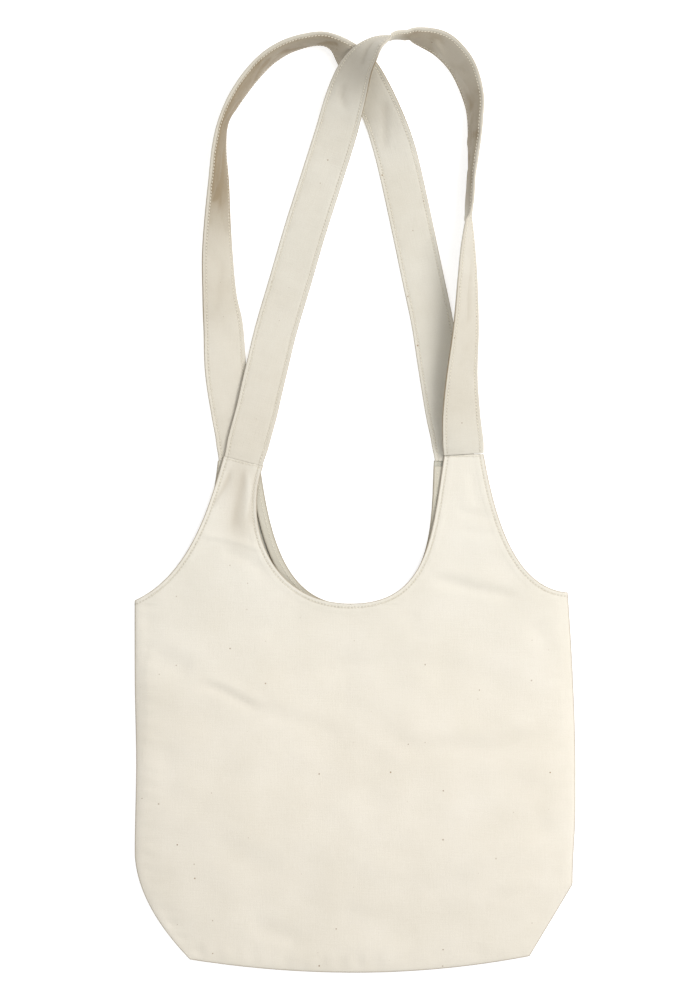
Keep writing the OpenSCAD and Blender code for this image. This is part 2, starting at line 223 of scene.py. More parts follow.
# each crease: its line, depth of the valley, half width, ridge height beside it and on which side
CREASES = [
    ([(-142, 92), (-124, 87.5), (-105, 78), (-83, 66)], 1.9, 4.2, 1.1, 1),
    ([(-92, 73), (-64, 62), (-40, 55), (-10, 49)], 0.9, 8.0, 0.4, 1),
    ([(-186, 117), (-168, 112), (-148, 103)], 2.0, 10.5, 0.5, 1),
    ([(-99, 103), (-40, 104), (-5, 108), (40, 112), (93, 109)], 0.9, 8.5, 0.2, 1),
    ([(-86, 136), (-64, 144), (-44, 157)], 1.0, 7.0, 0.3, 1),
    ([(14, 60), (36, 43), (60, 32), (94, 36), (128, 33), (160, 43), (174, 55), (197, 58)], 1.6, 10.0, 0.9, 1),
    ([(64, 188), (90, 184), (112, 178), (152, 171)], 1.7, 6.0, 0.7, 1),
    ([(-127, -36), (-114, -56), (-84, -71), (-60, -69)], 1.2, 12.0, 0.3, 1),
    ([(-98, -124), (-72, -134), (-46, -142)], 1.2, 9.0, 0.3, 1),
    ([(60, -98), (82, -92), (106, -82)], 0.9, 9.0, 0.3, 1),
    ([(126, -106), (146, -100), (168, -90)], 1.1, 8.0, 0.3, 1),
    ([(48, 160), (54, 146), (60, 130)], 0.8, 7.0, 0.2, 1),
    ([(-146, 229), (-112, 223), (-80, 213)], -1.3, 2.8, 0.0, 1),
    ([(-124, 213), (-100, 206), (-78, 191)], 1.2, 6.0, 0.3, 1),
    ([(-101, 293), (-102, 278), (-108, 250), (-112, 226)], 0.9, 6.0, 0.6, 1),
    ([(-90, 291), (-92, 268), (-95, 248), (-88, 226)], 0.8, 4.6, 0.5, -1),
    ([(-112, 289), (-120, 270), (-133, 250)], 1.5, 3.4, 0.8, -1),
    ([(-97, 290), (-97, 262), (-100, 238)], -1.0, 4.0, 0.0, 1),
    ([(90, 250), (104, 247), (128, 244)], 0.8, 4.0, 0.2, 1),
    ([(94, 232), (118, 229), (136, 226)], 0.6, 4.0, 0.2, 1),
    ([(104, 288), (108, 268), (114, 250)], 0.7, 5.0, 0.3, -1),
    ([(60, 95), (88, 104), (120, 98), (150, 80)], 0.8, 12.0, 0.2, 1),
    ([(-150, -10), (-120, 6), (-80, 10), (-40, 22)], 0.8, 11.0, 0.2, 1),
    ([(160, 150), (172, 132), (178, 112)], 1.3, 8.0, 0.4, 1),
    ([(-176, 40), (-170, 10), (-172, -20)], 1.0, 9.0, 0.3, -1),
    ([(176, 10), (168, -20), (172, -52)], 0.9, 9.0, 0.3, 1),
    ([(-20, -110), (10, -118), (48, -116)], 0.7, 10.0, 0.2, 1),
]
CREASE_LINES = [(through(points, 36)[0], *rest) for points, *rest in CREASES]


def fade_ends(t, share):
    """1 along a crease, falling to 0 within a share of its length at both ends."""
    return smooth(t / share) * smooth((1 - t) / share)


def front_height(x, y):
    """Height of the underside of the front cloth over a point, as the bag lies."""
    x, y = np.asarray(x, float), np.asarray(y, float)
    side = side_at(x, np.minimum(y, MOUTH + 8))
    v = np.clip((MOUTH - y) / (MOUTH - base_line(x)), 0, 1)
    u = np.clip(np.abs(x) / side, 0, 1)
    body = (GAPE + (CROWN - GAPE) * np.sin(math.pi * v) ** 1.5) * round_off(v, 7) * round_off(u, 4)
    up = smooth((y - MOUTH) / SHOULDER)
    low = PRESSED + 0.15
    z = low + body + (END_Z - low - body) * up
    sides = smooth((1 - u) / 0.07)
    fade = (sides + (1 - sides) * smooth((y - MOUTH) / 30)) * smooth((1 - v) / 0.05)
    fade = fade * smooth((TOP + 1 - y) / 7) * (1 - 0.35 * up)
    fold = np.zeros(x.shape)
    for line, deep, wide, ridge, way in CREASE_LINES:
        d, s, t = near_line(x, y, line)
        off = d * s * way
        valley = deep * np.exp(-((d / wide) ** 2))
        beside = ridge * np.exp(-(((off - 1.7 * wide) / (1.3 * wide)) ** 2))
        fold += fade_ends(t, 0.22) * (beside - valley)
    ground = 0.8 * lumps(x, y, 120, 9, 3) + 0.3 * lumps(x, y, 48, 12, 4) + 0.05 * lumps(x, y, 17, 14, 5)
    edge = (side - np.abs(x)) * (y < MOUTH) + 99 * (y >= MOUTH)
    pull = 0.45 * np.exp(-((edge - 9) / 8) ** 2) * lumps(0.3 * x, y, 17, 7, 15)
    foot = 0.45 * np.exp(-(((y - base_line(x)) - 9) / 8) ** 2) * lumps(x, 0.3 * y, 19, 7, 16)
    return np.maximum(z + fade * (fold + ground * (1 - 0.5 * up)) + sides * (pull + foot), PRESSED)


def back_height(x, y):
    """Height of the underside of the back cloth, flat and lifting a little near its free edges."""
    up = smooth((y - MOUTH + 30) / 90) * smooth((TOP - y) / 26)
    return 0.1 + up * np.maximum(0, 0.35 + 0.45 * lumps(x, y, 70, 7, 11))


# ---------------------------------------------------------------- meshes
def to_object(name, verts, faces, uv=None, edge=None, shade=None, flat_ends=0):
    """An object from points in millimetres. edge maps the distance from the hems, shade darkens its folds."""
    mesh = bpy.data.meshes.new(name)
    mesh.from_pydata((np.asarray(verts) * MM).tolist(), [], [list(map(int, f)) for f in faces])
    loops = np.zeros(len(mesh.loops), np.int32)
    mesh.loops.foreach_get("vertex_index", loops)
    for label, values in (("UVMap", uv), ("EdgeMap", edge)):
        if values is not None:
            flat = (np.asarray(values, float)[loops] * MM).astype(np.float32)
            mesh.uv_layers.new(name=label).data.foreach_set("uv", flat.ravel())
    if shade is not None:
        attribute = mesh.attributes.new("shade", "FLOAT", "POINT")
        attribute.data.foreach_set("value", np.asarray(shade, np.float32))
    rounded = np.ones(len(mesh.polygons), bool)
    if flat_ends:
        rounded[-flat_ends:] = False
    mesh.polygons.foreach_set("use_smooth", rounded)
    mesh.update()
    obj = bpy.data.objects.new(name, mesh)
    bpy.context.scene.collection.objects.link(obj)
    return obj


def cloth_shell(name, xy, faces, rim, under, thick, hems=(), painted_shade=None):
    """A closed cloth of one layer: top and underside with a rounded edge all round.
    under gives the height of its underside, rim its outline, anticlockwise from above,
    hems its sewn edges, and painted_shade how much painted shade its top gets; a dark line of painted shade
    also runs along the rim."""
    x, y = xy[:, 0], xy[:, 1]
    n = len(xy)
    dist, along = np.full(n, 60.0), np.zeros(n)
    for line in hems:
        d, _, t = near_line(x, y, line)
        hit = d < dist
        length = np.linalg.norm(np.diff(line, axis=0), axis=1).sum()
        dist, along = np.where(hit, d, dist), np.where(hit, t * length, along)
    z = under(x, y)
    groove, welt = np.zeros(n), np.zeros(n)
    if len(hems):
        groove = GROOVE * np.exp(-(((dist - ROW) / 0.9) ** 2))
        pucker = lumps(along, 0.4 * dist, 9, 8, 17) * np.exp(-((dist - ROW) / 4.5) ** 2)
        welt = WELT * smooth((HEM + 0.8 - dist) / 2.4) + 0.10 * pucker
    top = np.stack([x, y, z + thick + welt - groove], 1)
    low = np.stack([x, y, z], 1)
    rim = np.array(rim)
    here = xy[rim]
    way = np.roll(here, -1, 0) - np.roll(here, 1, 0)
    way /= np.maximum(np.linalg.norm(way, axis=1, keepdims=True), 1e-6)
    out = np.stack([way[:, 1], -way[:, 0]], 1)
    shade = np.zeros(2 * n + len(rim))
    # painted shade on the top face, as the given map sets it
    if painted_shade:
        shade[n:2 * n] = painted_shade(x, y)
    # painted shade: a dark line along the rim, faint along the top edges where the straps are sewn on
    dark = np.where((here[:, 1] > TOP - 9) & (out[:, 1] > 0.8), 0.1, 1.0)
    shade[rim], shade[n + rim], shade[2 * n:] = 0.7 * dark, np.maximum(0.5 * dark, shade[n + rim]), dark
    mid = np.column_stack([here + 0.42 * out, z[rim] + 0.5 * (thick + welt[rim])])
    top[rim, :2] -= 0.05 * out
    verts = np.vstack([low, top, mid])
    f = [[a, d, c, b] for a, b, c, d in faces] + [[a + n, b + n, c + n, d + n] for a, b, c, d in faces]
    m = len(rim)
    for k in range(m):
        a, b = rim[k], rim[(k + 1) % m]
        ma, mb = 2 * n + k, 2 * n + (k + 1) % m
        f += [[a, b, mb, ma], [ma, mb, b + n, a + n]]
    flat = np.vstack([xy, xy, here])
    edge = np.column_stack([np.concatenate([a, a, a[rim]]) for a in (dist, along)])
    return to_object(name, verts, f, flat, edge, shade)


def spread_rows(length, n):
    """Shares of a row of n points: close together near its two hemmed ends, wide apart between them."""
    fine = np.concatenate([[0], FINE])
    fine = fine * min(1.0, (length - 6) / (2 * fine[-1]))
    k = n - 2 * len(fine) + 2
    middle = np.linspace(fine[-1], length - fine[-1], k)[1:-1]
    return np.concatenate([fine, middle, length - fine[::-1]]) / length


def shoulder_grid(neck, arm, n, steps):
    """Rows of points from a shoulder end down to the mouth line, between the neckline and the armhole."""
    t = 1 - np.linspace(0, 1, steps + 1) ** 0.9
    a, b = bezier(neck, t), bezier(arm, t)
    bend = 1 + 2 * np.exp(-((np.arange(steps + 1) / 30) ** 2))
    rows = []
    for i in range(steps + 1):
        share = spread_rows(np.linalg.norm(b[i] - a[i]), n)
        x = a[i, 0] + (b[i, 0] - a[i, 0]) * share
        y = a[i, 1] + (b[i, 1] - a[i, 1]) * share ** bend[i]
        rows.append(np.column_stack([x, y]))
    return np.stack(rows)


def panel_grid(neck_l, neck_r, arm_l, arm_r, side_l, side_r, foot, n=64, steps=96, body=112):
    """Points, faces and outline of a panel: one grid for the body and one for each shoulder,
    joined along the mouth line."""
    left, right = shoulder_grid(neck_l, arm_l, n, steps), shoulder_grid(neck_r, arm_r, n, steps)
    top_line = np.vstack([left[0][::-1], right[0][1:]])
    m = len(top_line)
    drop = MOUTH - foot(0.0)
    middle = np.linspace(FINE[-1] / drop, 1 - 5 / drop, body)[1:]
    v = np.concatenate([[0], FINE / drop, middle, 1 - np.array([3, 1.6, 0.7, 0]) / drop])
    rows = [top_line]
    x0 = top_line[:, 0]
    # the straight part of the sides ends at these heights, and the corners take up the rest
    corner_l, corner_r, corner_m, straight = -60, -90, -93, 0.75
    for k in range(1, len(v)):
        s = max(0.0, (v[k] - straight) / (1 - straight))
        part = min(v[k], straight) / straight
        yl = top_line[0, 1] + (corner_l - top_line[0, 1]) * part - 98 * s
        yr = top_line[-1, 1] + (corner_r - top_line[-1, 1]) * part - 65 * s
        ym = MOUTH + (corner_m - MOUTH) * part + (foot(0.0) - corner_m) * s
        xl, xr = -float(side_l(yl)), float(side_r(yr))
        centre = NECK * (1 - min(1.0, k / 30))
        to_left = centre + (x0 - NECK) / (x0[0] - NECK) * (xl - centre)
        to_right = centre + (x0 - NECK) / (x0[-1] - NECK) * (xr - centre)
        x = np.where(x0 < NECK, to_left, to_right)
        ys = np.where(x < 0, yl, yr)
        xs = np.where(x < 0, xl, xr)
        y = ym + (ys - ym) * np.abs(x / xs) ** (3 - min(1, k / 20))
        rows.append(np.stack([x, y], 1))
    rows = np.array(rows)
    nb = len(rows)
    h = left.shape[1]
    xy = np.vstack([rows.reshape(-1, 2), left[1:].reshape(-1, 2), right[1:].reshape(-1, 2)])
    mid = h - 1

    def at(i, j):
        return i * m + j

    def at_l(i, j):
        return at(0, mid - j) if i == 0 else nb * m + (i - 1) * h + j

    def at_r(i, j):
        return at(0, mid + j) if i == 0 else nb * m + (steps + i - 1) * h + j

    def cells(place, high, wide, corners):
        return [[place(i + a, j + b) for a, b in corners] for i in range(high) for j in range(wide)]

    faces = cells(at, nb - 1, m - 1, ((1, 0), (1, 1), (0, 1), (0, 0)))
    faces += cells(at_l, steps, h - 1, ((0, 1), (0, 0), (1, 0), (1, 1)))
    faces += cells(at_r, steps, h - 1, ((0, 0), (0, 1), (1, 1), (1, 0)))
    rim = [at(nb - 1, j) for j in range(m)] + [at(i, m - 1) for i in range(nb - 2, 0, -1)]
    rim += [at_r(i, h - 1) for i in range(steps + 1)] + [at_r(steps, j) for j in range(h - 2, -1, -1)]
    rim += [at_r(i, 0) for i in range(steps - 1, -1, -1)] + [at_l(i, 0) for i in range(1, steps + 1)]
    rim += [at_l(steps, j) for j in range(1, h)] + [at_l(i, h - 1) for i in range(steps - 1, -1, -1)]
    rim += [at(i, 0) for i in range(1, nb - 1)]
    return xy, faces, rim


def hem_lines(side):
    """The hemmed edges of a panel: neckline, left armhole, right armhole."""
    t = np.linspace(0, 1, 80)
    neck = np.vstack([bezier(EDGE[side + "_neck_l"], t), bezier(EDGE[side + "_neck_r"], t[::-1])[1:]])
    return [neck, bezier(EDGE[side + "_arm_l"], t), bezier(EDGE[side + "_arm_r"], t)]


def patch_of_shade(x, y, place, size):
    return np.exp(-(((x - place[0]) / size[0]) ** 2) - ((y - place[1]) / size[1]) ** 2)


def front_painted_shade(x, y):
    """Painted shade on the puckered left shoulder and in the valleys across it."""
    out = 0.26 * (patch_of_shade(x, y, (-104, 240), (13, 24)) + patch_of_shade(x, y, (-106, 280), (16, 24)))
    for line, deep, wide, _, _ in CREASE_LINES:
        if line[:, 1].max() > 280 and line[:, 0].max() < 0:
            d, _, t = near_line(x, y, line)
            out += 0.14 * deep * fade_ends(t, 0.25) * np.exp(-((d / (0.6 * wide)) ** 2))
    return np.minimum(out, 0.5)


# painted shade: the back cloth's top face, seen only inside the bag, made a little darker all over
def back_painted_shade(x, y):
    return np.full(x.shape, 0.08)


def edges_of(side):
    return [EDGE[f"{side}_{k}"] for k in ("neck_l", "neck_r", "arm_l", "arm_r")]


front_hems, back_hems = hem_lines("front"), hem_lines("back")
front_grid = panel_grid(*edges_of("front"), side_left, side_right, base_line)
front = cloth_shell("front_cloth", *front_grid, front_height, CLOTH, front_hems, front_painted_shade)
# the back cloth stays 1 mm inside the front's outline
back_grid = panel_grid(*edges_of("back"), lambda y: side_left(y) - 1, lambda y: side_right(y) - 1,
                       lambda x: base_line(x) + 1, n=52, steps=72, body=70)
back = cloth_shell("back_cloth", *back_grid, back_height, CLOTH, back_hems, back_painted_shade)


# ---------------------------------------------------------------- hems, tucks and seams inside
def offset_line(line, d):
    """The line moved d to its right."""
    way = np.gradient(line, axis=0)
    way /= np.linalg.norm(way, axis=1, keepdims=True)
    return line + d * np.stack([way[:, 1], -way[:, 0]], 1)


def strip(name, lines, under, thick):
    """A closed strip of cloth between lines that run side by side, from left to right of travel."""
    grid = np.array(lines)
    k, n = grid.shape[:2]
    xy = grid.reshape(-1, 2)
    faces = [[i * n + j, (i + 1) * n + j, (i + 1) * n + j + 1, i * n + j + 1]
             for i in range(k - 1) for j in range(n - 1)]
    rim = [i * n for i in range(k)] + [(k - 1) * n + j for j in range(1, n)]
    rim += [i * n + n - 1 for i in range(k - 2, -1, -1)] + [j for j in range(n - 2, 0, -1)]
    return cloth_shell(name, xy, faces, rim, under, thick)


def hem(name, line, right, under, end):
    """The turned cloth under an edge, to its right or left, as far as share end of its length."""
    p, _ = through(line[:: 4], 150)
    p = p[: int(end * 149) + 1]
    sign = 1 if right else -1
    lines = [offset_line(p, sign * d) for d in (0.15, 1.2, 2.6, 3.8, 4.5, 5.2, 6.4, 7.6, HEM)]
    return strip(name, lines if right else lines[::-1], under, HEM_T)


# the CAD keeps the hems this far off the cloth they are turned from
OFF_FRONT, OFF_BACK = 1.0, 0.62


def under_front(x, y):
    return front_height(x, y) - OFF_FRONT


def over_back(x, y):
    return back_height(x, y) + CLOTH + OFF_BACK


def inside_height(x, y):
    """Height of the seams and tucks that lie between the two cloths."""
    return INSIDE_Z + 0.08 * lumps(x, y, 22, 6, 8)


def quad_lines(corners, n):
    """Seven lines of n points that fill a four-sided patch, from left to right of travel."""
    a, b, c, d = (np.array(p, float) for p in corners)
    s = np.linspace(0, 1, n)[:, None]
    lines = [(a + (b - a) * s) * (1 - t) + (d + (c - d) * s) * t for t in np.linspace(0, 1, 7)]
    return lines[::-1] if np.cross(b - a, d - a) > 0 else lines


inner = []


def keep_inside(piece, node):
    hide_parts(node)
    inner.append(piece)


for side, under, lines in (("front", under_front, front_hems), ("back", over_back, back_hems)):
    for word, line, right, end in (("neck", lines[0], True, 1.0), ("left_armhole", lines[1], False, 0.93),
                                   ("right_armhole", lines[2], True, 0.93)):
        keep_inside(hem(f"{side}_{word}_hem_cloth", line, right, under, end), f"{side}_{word}_hem")

for s, word in ((-1, "left"), (1, "right")):
    lo, hi = cad_corners(word + "_side_seam")
    up = np.linspace(lo[1], hi[1], 120)
    edge = side_right(up) if s > 0 else side_left(up)
    lines = [np.column_stack([s * (edge - d), up]) for d in (11.5, 10, 8.5, 7, 5.5, 4, 2.8)]
    seam = strip(word + "_side_seam_cloth", lines if s > 0 else lines[::-1], inside_height, SEAM_T)
    keep_inside(seam, word + "_side_seam")
    # the corner of the base, folded in
    lo, hi = cad_corners(word + "_corner_tuck")
    out, far = (hi[0], lo[0]) if s > 0 else (lo[0], hi[0])
    corners = [(out, hi[1]), (out - s * 34, lo[1]), (far, lo[1] + 18), (far + s * 2, lo[1] + 19.5)]
    tuck = strip(word + "_corner_tuck_cloth", quad_lines(corners, 30), inside_height, 1.0)
    keep_inside(tuck, word + "_corner_tuck")

lo, hi = cad_corners("bottom_seam")
corners = [(lo[0], lo[1]), (hi[0], lo[1]), (hi[0], hi[1]), (lo[0], hi[1])]
keep_inside(strip("bottom_seam_cloth", quad_lines(corners, 60), inside_height, SEAM_T), "bottom_seam")


# ---------------------------------------------------------------- straps
def weigh(run, start, stop, way):
    """Direction along a strap, square to its seams at both ends and turning into its route within 20 mm."""
    start, stop = smooth((run - start) / 20)[:, None], smooth((stop - run) / 20)[:, None]
    way = np.array([0, 1]) * (1 - start) + way * start
    way = np.array([0, -1]) * (1 - stop) + way * stop
    return way / np.linalg.norm(way, axis=1, keepdims=True)


class Band:
    """A strap as it lies: its centre line, roll and the curve of its section at every station.
    raised is the edge that stands up, inner the face that looks inward, flare how far the raised edge
    turns flat, tail what the last end is short by, and extra how much more painted shade the inner face gets."""

    def __init__(self, route, raised, inner, flare, tail, extra, square):
        pts = [(p[0], TOP + SEAM_GAP + p[1], p[2], p[3]) for p in route]
        self.path, self.run = through(pts, 420)
        self.length = self.run[-1]
        way = np.gradient(self.path[:, :2], axis=0)
        way /= np.linalg.norm(way, axis=1, keepdims=True)
        if square:
            way = weigh(self.run, 0, self.length, way)
        self.side = np.stack([-way[:, 1], way[:, 0]], 1)
        self.raised, self.inner, self.flare = raised, inner, flare
        self.tail, self.extra = tail, extra

    def section(self, w):
        """Across-offset, height and slope of the mid layer at each station, for distances w across the strap.
        The raised edge turns a little flat, and the rest stands steeper, so the plan width stays."""
        ws = np.linspace(-STRAP_W / 2, STRAP_W / 2, 77)
        rho = self.path[:, 2][:, None]
        ends = smooth(self.run / 18) * smooth((self.length - self.run) / 18)
        step = (ws[1] - ws[0]) * (0.94 + 0.06 * ends)[:, None]
        steep, level = np.abs(np.sin(np.radians(rho))), np.abs(np.cos(np.radians(rho)))
        lip = self.flare * smooth((steep - 0.45) / 0.3) * smooth(level / 0.3)
        near = smooth((self.raised * ws[None, :] - (STRAP_W / 2 - 5.5)) / 3.0)
        flat = np.where(np.abs(rho) > 90, np.sign(rho) * 180, 0.0)
        upright = np.sign(rho) * 90
        bow = CURL * smooth((steep - 0.3) / 0.5) * (1 + 3 * (1 - smooth(level / 0.4)))
        bow = bow * ws[None, :] / (STRAP_W / 2)
        plan = STRAP_W * level - STRAP_T * steep ** 3
        low, high = 1 - smooth((steep - 0.1) / 0.2), 1 + 0.1 * smooth((steep - 0.5) / 0.2)
        for _ in range(18):
            m = (low + high) / 2
            phi = upright + (rho - upright) * m - bow * self.raised
            phi = np.radians(phi + (flat - phi) * lip * near)
            n = np.cumsum(np.cos(phi) * step, 1)
            wide = n.max(1, keepdims=True) - n.min(1, keepdims=True) > plan
            low, high = np.where(wide, low, m), np.where(wide, m, high)
        z = np.cumsum(np.sin(phi) * step, 1)
        n -= (n.max(1, keepdims=True) + n.min(1, keepdims=True)) / 2
        z += self.path[:, 3][:, None] + STRAP_T / 2 - z.min(1, keepdims=True)
        return [np.stack([np.interp(w, ws, row) for row in a]) for a in (n, z, phi)]

    def surface(self, w, lift, crumple):
        """Points of the strap at distances w across, lift above or below its mid layer."""
        n, z, phi = self.section(w)
        thin = 0.6 + 0.4 * smooth(np.minimum(self.run, self.length - self.tail - self.run) / 7)
        s = self.run[:, None] + 0 * n
        lift = lift * thin[:, None] + crumple(s, np.asarray(w)[None, :] + 0 * n)
        px = self.path[:, 0][:, None] + (n - np.sin(phi) * lift) * self.side[:, 0][:, None]
        py = self.path[:, 1][:, None] + (n - np.sin(phi) * lift) * self.side[:, 1][:, None]
        return np.stack([px, py, z + np.cos(phi) * lift], 2)

    def station(self, s):
        """The station nearest to a distance along the strap."""
        return self.run[np.argmin(np.abs(self.run - s))]


# how much a standing strap bows across its width, in degrees
CURL = 9.0
# half of a strap's section: distance across, and half thickness there, thin at the edge and at its sewing
ACROSS = np.array([-19, -18.85, -18.45, -17.8, -17.0, -16.2, -15.4, -14.6, -13.6, -12, -9, -6, -3])
HALF_T = np.array([0.28, 0.72, 1.02, 1.12, 1.02, 0.84, 0.66, 0.84, 1.0, 1.1, 1.15, 1.15, 1.15])
ACROSS = np.concatenate([ACROSS, [0], -ACROSS[::-1]])
HALF_T = np.concatenate([HALF_T, [1.15], HALF_T[::-1]])


def crumples(folds, seed):
    """Small folds on a strap: each a line of (distance along, distance across), a depth and a half width."""
    lines = [(through(f[0], 24)[0], f[1], f[2]) for f in folds]

    def at(s, w):
        out = 0.16 * lumps(s, w, 26, 8, seed) + 0.07 * lumps(s, 2 * w, 11, 8, seed + 1)
        for line, deep, wide in lines:
            near = np.abs(s - line[:, 0].mean()) < 80
            d, _, t = near_line(s[near], w[near], line)
            out[near] -= 1.5 * deep * fade_ends(t, 0.2) * np.exp(-((d / wide) ** 2))
        return out * smooth((STRAP_W / 2 - np.abs(w)) / 3.0)

    return at


def crisp_ends(rows):
    """The same rows with one more just inside each end, so that the flat ends leave the shading alone."""
    first = rows[:1] * 0.98 + rows[1:2] * 0.02
    last = rows[-1:] * 0.98 + rows[-2:-1] * 0.02
    return np.concatenate([rows[:1], first, rows[1:-1], last, rows[-1:]])


def band_shade(band, crumple, w, run, roll):
    """How much painted shade each point of a strap gets: on its inner face where it stands up, in the valleys
    of its folds, more where it leans, and a dark line along its edges where it lies flat.
    """
    rho = np.radians(roll)[:, None]
    lean = np.abs(np.sin(rho))
    steep = smooth((lean - 0.66) / 0.28)
    face = np.repeat([-1, 1], len(ACROSS))[None, :]
    seen = (face == band.inner) * smooth(0.5 + band.inner * np.cos(rho) / 0.5)
    from_rim = STRAP_W / 2 - band.raised * w[None, :]
    deep = 0.55 + 0.3 * smooth((from_rim - 34) / 3) + band.extra(run)[:, None]
    # painted shade in the valleys of the strap's small folds
    valley = np.clip(-face * crumple(run[:, None] + 0 * w[None, :], w[None, :] + 0 * run[:, None]), 0, 1.2)
    valley = valley * (0.12 + 0.7 * steep * seen)
    # painted shade on the inner face where the strap stands up
    inside = steep * seen * smooth((from_rim - 2.0) / 2.0) * deep
    # more painted shade the more the strap leans
    shade = np.minimum(inside + 0.24 * smooth((lean - 0.1) / 0.5) + valley, 1)
    # a dark line of painted shade along the edges where the strap lies flat
    return shade + (1 - steep) * 0.9 * (np.abs(w) > STRAP_W / 2 - 0.2)


def band_mesh(name, band, crumple, s0, s1):
    """The closed strap between two distances along it."""
    keep = np.where((band.run >= s0 - 1e-6) & (band.run <= s1 + 1e-6))[0]
    top = band.surface(ACROSS, HALF_T[None, :], crumple)[keep]
    low = band.surface(ACROSS, -HALF_T[None, :], crumple)[keep]
    n = len(ACROSS)
    ring = crisp_ends(np.concatenate([low, top[:, ::-1]], 1))
    run = crisp_ends(band.run[keep])
    m, k = ring.shape[:2]
    faces = [[i * k + j, (i + 1) * k + j, (i + 1) * k + (j + 1) % k, i * k + (j + 1) % k]
             for i in range(m - 1) for j in range(k)]
    faces += [[j, j + 1, k - 2 - j, k - 1 - j] for j in range(n - 1)]
    b = (m - 1) * k
    faces += [[b + k - 1 - j, b + k - 2 - j, b + j + 1, b + j] for j in range(n - 1)]
    w = np.concatenate([ACROSS, ACROSS[::-1]])
    uv = np.stack([np.tile(w, m), np.repeat(run, k)], 1)
    shade = band_shade(band, crumple, w, run, crisp_ends(band.path[keep, 2]))
    return to_object(name, ring.reshape(-1, 3), faces, uv, shade=shade.ravel(), flat_ends=2 * (n - 1))


# the back strap's inner face gets extra painted shade around its left arc, the front strap's none
back_band = Band(BACK_ROUTE, raised=1, inner=1, flare=0.55, tail=0.0,
                 extra=lambda s: 0.45 * np.exp(-(((s - 270) / 70) ** 2)), square=True)
front_band = Band(FRONT_ROUTE, raised=-1, inner=-1, flare=0.35, tail=RAISE,
                  extra=lambda s: 0 * s, square=False)
back_crumple = crumples([
    ([(232, 15), (255, 2), (290, -6)], 1.0, 2.4),
    ([(240, 6), (262, 10), (280, 4)], 0.5, 2.2),
    ([(300, 12), (318, 2), (336, -6)], 0.7, 3.0),
    ([(352, -12), (366, 0), (384, 8)], 0.8, 2.6),
    ([(392, 6), (404, -4), (420, -10)], 0.7, 2.6),
    ([(428, -8), (440, 4), (452, 9)], 0.7, 2.4),
    ([(512, 8), (536, -2), (560, -10)], 0.6, 3.4),
    ([(130, 6), (160, 0), (185, -4)], 0.45, 4.0)], 21)
front_crumple = crumples([
    ([(372, -6), (386, 2), (398, 8)], 0.9, 2.6),
    ([(420, 8), (432, -2), (444, -9)], 0.9, 2.6),
    ([(452, -6), (462, 4), (474, 10)], 1.1, 3.0),
    ([(486, 9), (502, 0), (516, -4)], 1.0, 3.0),
    ([(530, -2), (548, 6), (566, 10)], 1.0, 2.6),
    ([(580, 2), (606, 5), (640, 4)], 1.0, 2.6),
    ([(660, 10), (690, 4), (730, 3)], 0.6, 3.4),
    ([(330, -4), (344, 4), (356, 6)], 0.6, 3.0)], 31)

# the front strap crosses two joints, so its two ends are pieces of their own
cut_a, cut_b = front_band.station(END), front_band.station(front_band.length - END)
last = front_band.length - RAISE
back_strap = band_mesh("back_strap_cloth", back_band, back_crumple, 0, back_band.length)
front_strap = band_mesh("front_strap_cloth", front_band, front_crumple, cut_a, cut_b)
front_end_l = band_mesh("front_strap_left_end", front_band, front_crumple, 0, cut_a)
front_end_r = band_mesh("front_strap_right_end", front_band, front_crumple, cut_b, last)


# ---------------------------------------------------------------- stitches
def grain():
    """One stitch: a plump thread lying along X, its ends dipping into the cloth."""
    rings = [(-1.0, 0.25, -0.55), (-0.72, 0.85, 0.0), (0.0, 1.0, 0.12), (0.72, 0.85, 0.0), (1.0, 0.25, -0.55)]
    a = np.arange(6) * math.pi / 3 + math.pi / 6
    v = [(x, r * math.cos(q), z + r * math.sin(q)) for x, r, z in rings for q in a]
    f = [[i * 6 + j, i * 6 + (j + 1) % 6, i * 6 + 6 + (j + 1) % 6, i * 6 + 6 + j]
         for i in range(4) for j in range(6)]
    f += [[5, 4, 3, 2, 1, 0], [24, 25, 26, 27, 28, 29]]
    return np.array(v), f


GRAIN_V, GRAIN_F = grain()


# half length, half width and half height of a stitch
GRAIN_SIZE = (1.15, 0.36, 0.3)


def stitches(name, rows):
    """Stitches along rows of (points, normals), one every few millimetres."""
    long, wide, high = GRAIN_SIZE
    verts, faces, uv = [], [], []
    for pts, nor in rows:
        run = run_along(pts)
        count = int(run[-1] / STITCH)
        for k in range(count):
            s = (k + 0.5) * run[-1] / count
            before, p, after = (np.array([np.interp(s + d, run, pts[:, c]) for c in range(3)])
                                for d in (-0.6, 0, 0.6))
            up = np.array([np.interp(s, run, nor[:, c]) for c in range(3)])
            x = (after - before) / np.linalg.norm(after - before)
            y = np.cross(up, x)
            y /= np.linalg.norm(y)
            z = np.cross(x, y)
            turn = 0.2 + rng.normal(0, 0.04)
            x, y = x * math.cos(turn) + y * math.sin(turn), y * math.cos(turn) - x * math.sin(turn)
            g = GRAIN_V * [long * rng.uniform(0.92, 1.05), wide, high]
            b = len(verts) * len(GRAIN_V)
            verts.append(p + g[:, :1] * x + g[:, 1:2] * y + g[:, 2:] * z)
            faces += [[i + b for i in f] for f in GRAIN_F]
            uv.append(np.stack([g[:, 1], s + g[:, 0]], 1))
    return to_object(name, np.vstack(verts), faces, np.vstack(uv))


def row_on(line, height, extra):
    """A row lying on cloth seen from above."""
    p, _ = through(line, 160)
    z = height(p[:, 0], p[:, 1]) + extra
    pts = np.column_stack([p[:, :2], z])
    return pts, np.tile([0, 0, 1.0], (len(p), 1))


def hem_row(line, right, start, end, height, extra):
    """A row of sewing along a hemmed edge, between two shares of its length."""
    p, _ = through(line[::4], 160)
    p = p[int(start * 159): int(end * 159) + 1]
    return row_on(offset_line(p, ROW if right else -ROW)[::3], height, extra)


